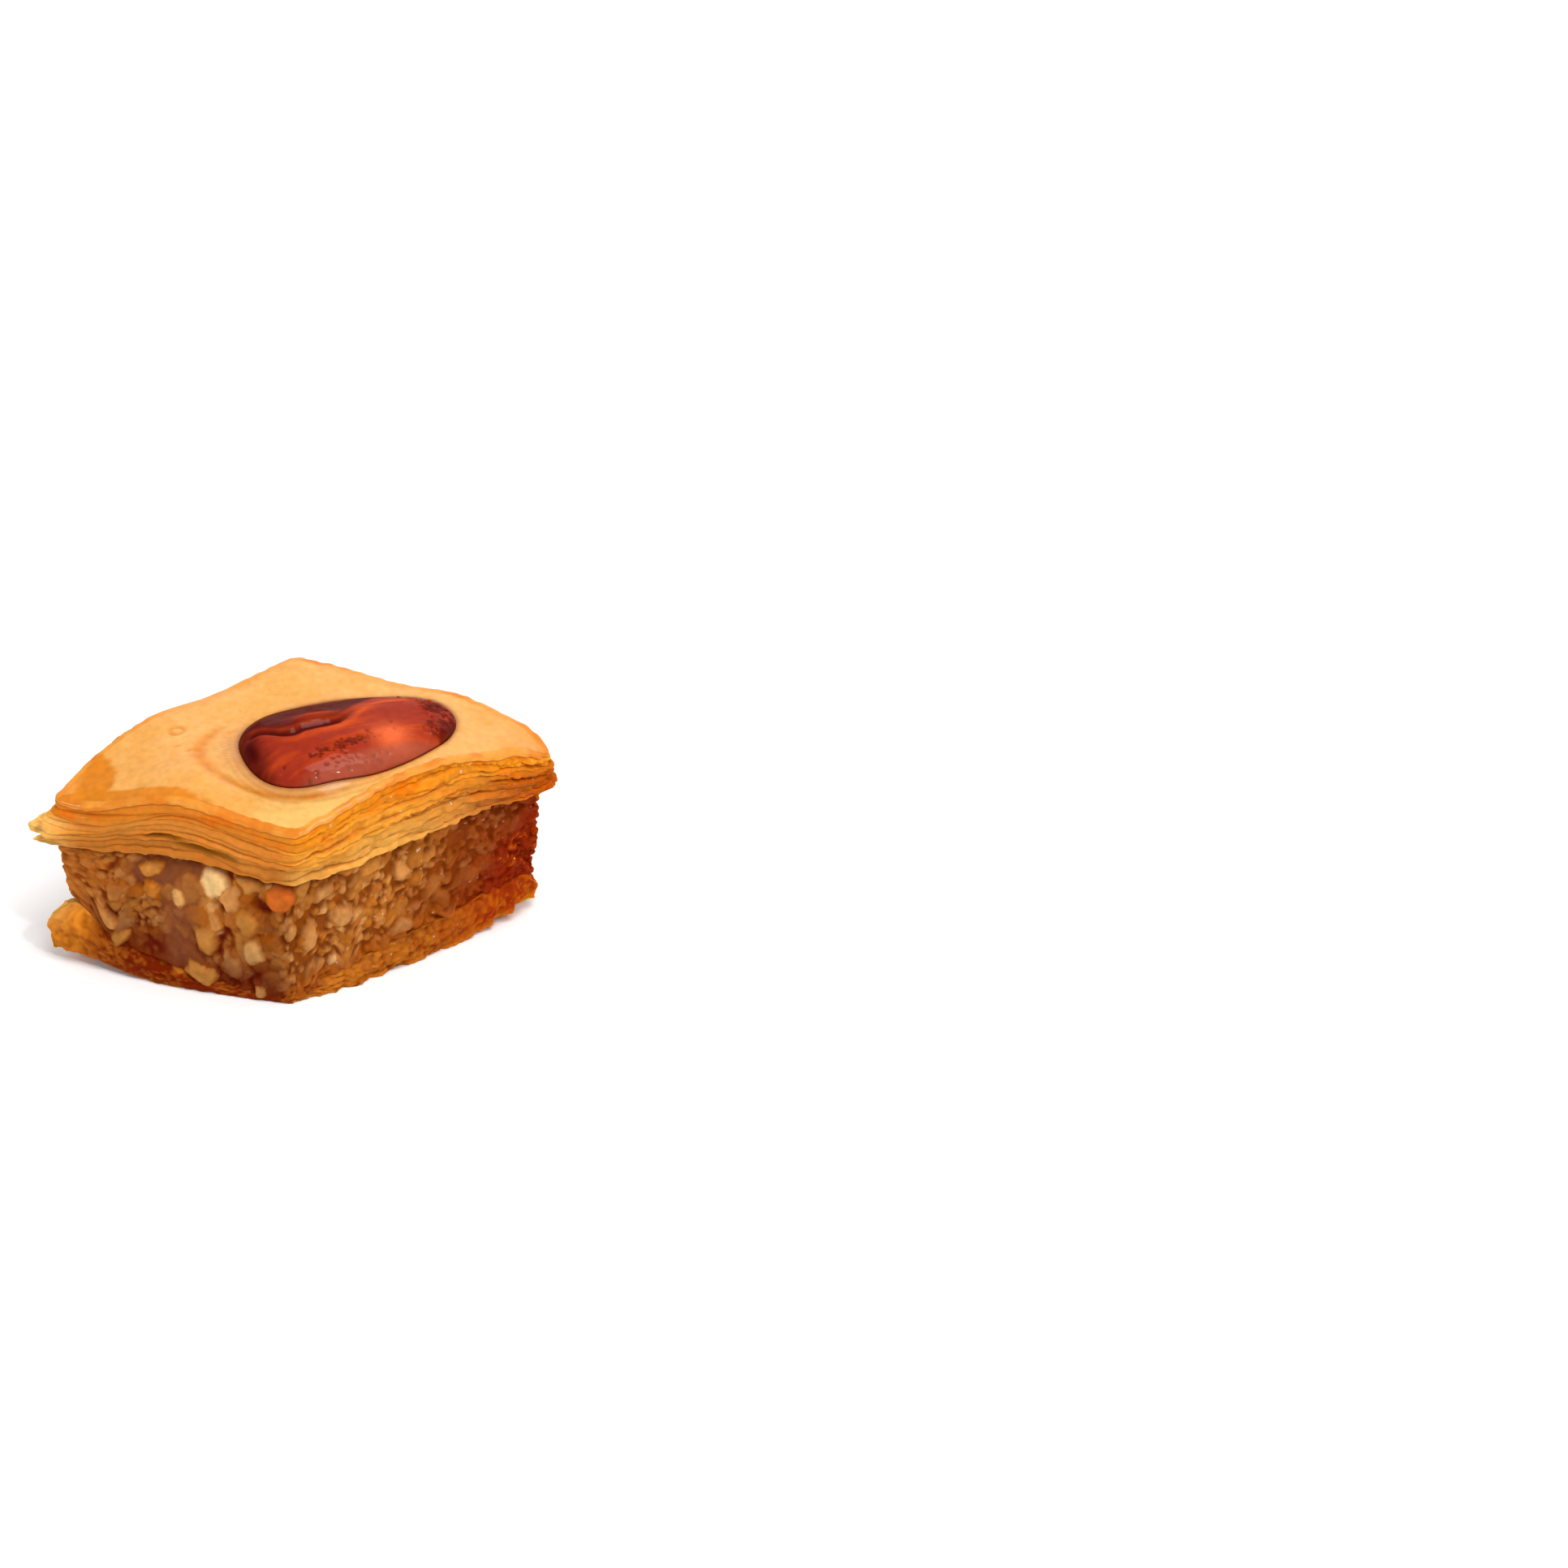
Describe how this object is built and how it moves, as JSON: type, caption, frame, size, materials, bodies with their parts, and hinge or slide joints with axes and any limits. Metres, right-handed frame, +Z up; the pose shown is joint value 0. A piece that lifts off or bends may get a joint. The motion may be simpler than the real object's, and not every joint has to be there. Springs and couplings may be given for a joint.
{
  "type": "baklava piece",
  "caption": "Diamond-cut piece of baklava: thin pastry leaves over a chopped nut filling on a syrup-soaked pastry base, with a whole almond on top.",
  "frame": {"origin": "on the resting plane, under the middle of the piece's box", "axes": "+X along the long diagonal of the diamond cut, +Y towards the back corner, +Z up"},
  "size_m": [0.0564, 0.0302, 0.0266],
  "materials": {
    "pastry_bottom": "syrup-soaked brown pastry leaves",
    "nut_filling": "moist chopped nuts in a sticky brown paste",
    "pastry_top": "golden flaky pastry leaves under a clear syrup glaze",
    "almond": "dark red-brown almond under a clear syrup glaze"
  },
  "bodies": {
    "root": {"pastry_bottom": "pastry_bottom", "nut_filling": "nut_filling", "pastry_top": "pastry_top", "almond": "almond"}
  },
  "joints": []
}
